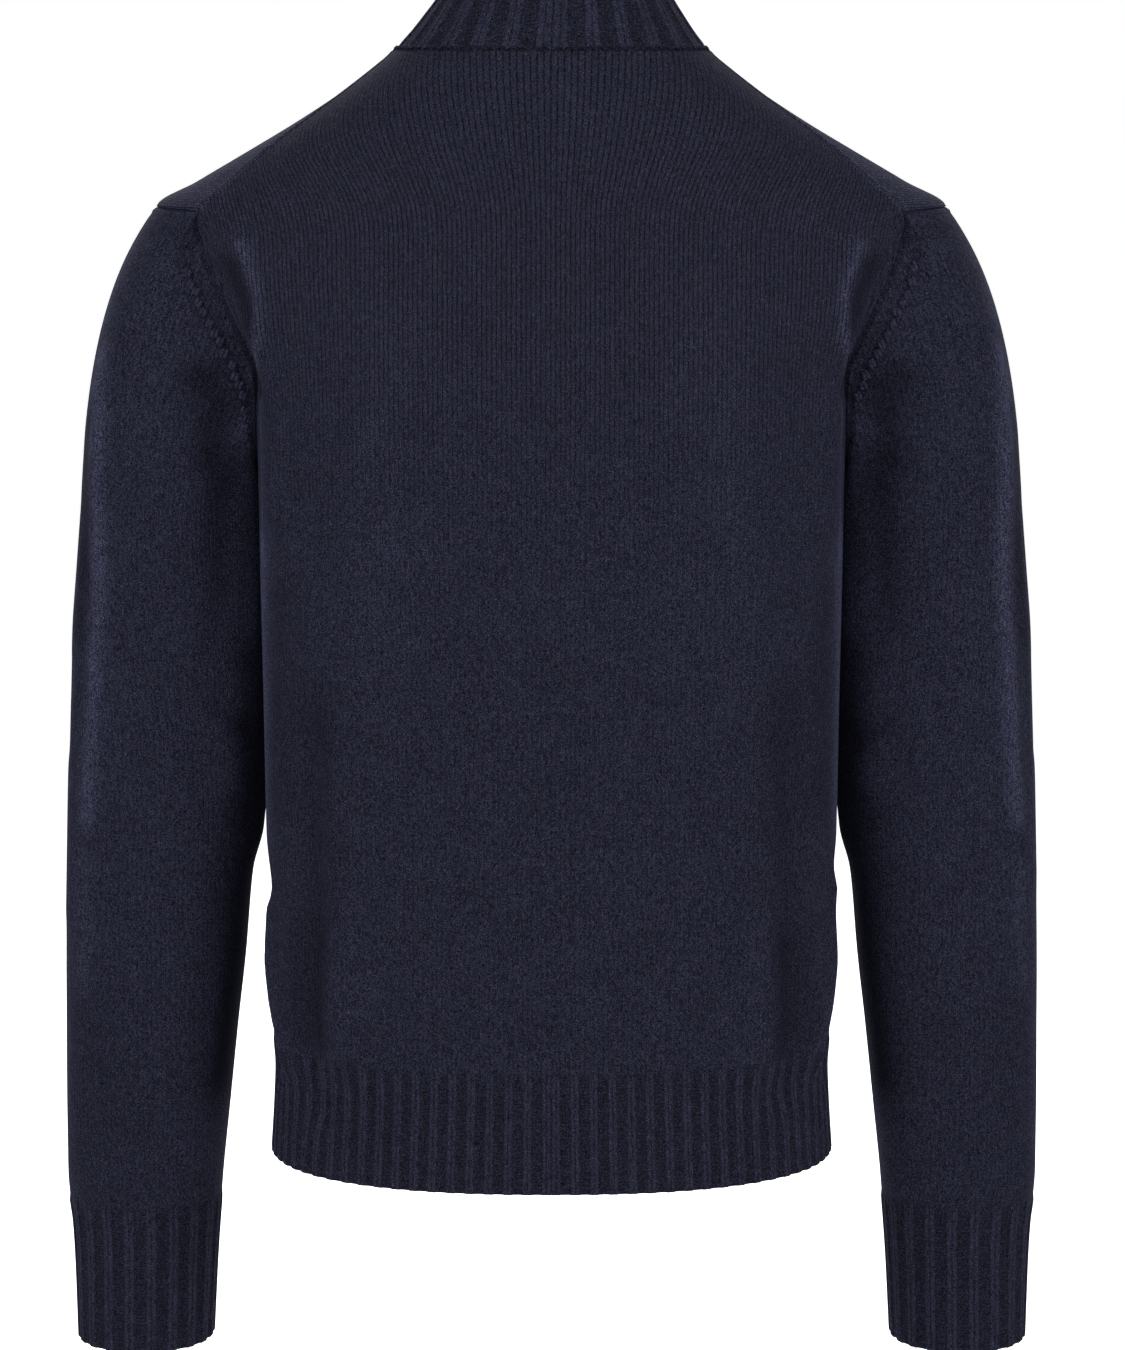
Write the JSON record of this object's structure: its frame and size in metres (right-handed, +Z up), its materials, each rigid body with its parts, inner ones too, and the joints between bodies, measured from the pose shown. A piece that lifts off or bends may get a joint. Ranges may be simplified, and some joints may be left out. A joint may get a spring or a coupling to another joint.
{
  "type": "full-zip knitted sweater",
  "caption": "Hollow knitted sweater in worn form, with set-in sleeves, ribbed stand collar, cuffs and hem, and a closed front zip.",
  "frame": {"origin": "midway between the neck ends of the two shoulders, just above the level of the collar seam", "axes": "+Z up, the front faces -Y and the back +Y, the wearer's left sleeve is on +X"},
  "size_m": [0.5756, 0.242, 0.837],
  "materials": {
    "plain_knit": "dark navy melange wool in fine plain knit, matt with a soft sheen",
    "rib_knit": "the same navy wool in 2x2 rib",
    "zip_tape": "navy woven tape",
    "zip_metal": "dark gunmetal, satin"
  },
  "bodies": {
    "garment": {"back": "plain_knit", "front_left": "plain_knit", "front_right": "plain_knit", "sleeve_left": "plain_knit", "sleeve_right": "plain_knit", "cuff_left": "rib_knit", "cuff_right": "rib_knit", "hem_rib_back": "rib_knit", "hem_rib_front_left": "rib_knit", "hem_rib_front_right": "rib_knit", "collar": "rib_knit", "zip_tape_left": "zip_tape", "zip_tape_right": "zip_tape", "zip_chain": "zip_metal", "zip_slider": "zip_metal"},
    "tab": {"pull_tab": "zip_metal"}
  },
  "joints": [
    {"name": "pull_tab_swing", "type": "hinge", "parent": "garment", "child": "tab", "pos_m": [-0.00278, -0.06935, -0.00029], "axis": [-1, 0, 0], "range_deg": [0, 160]}
  ]
}
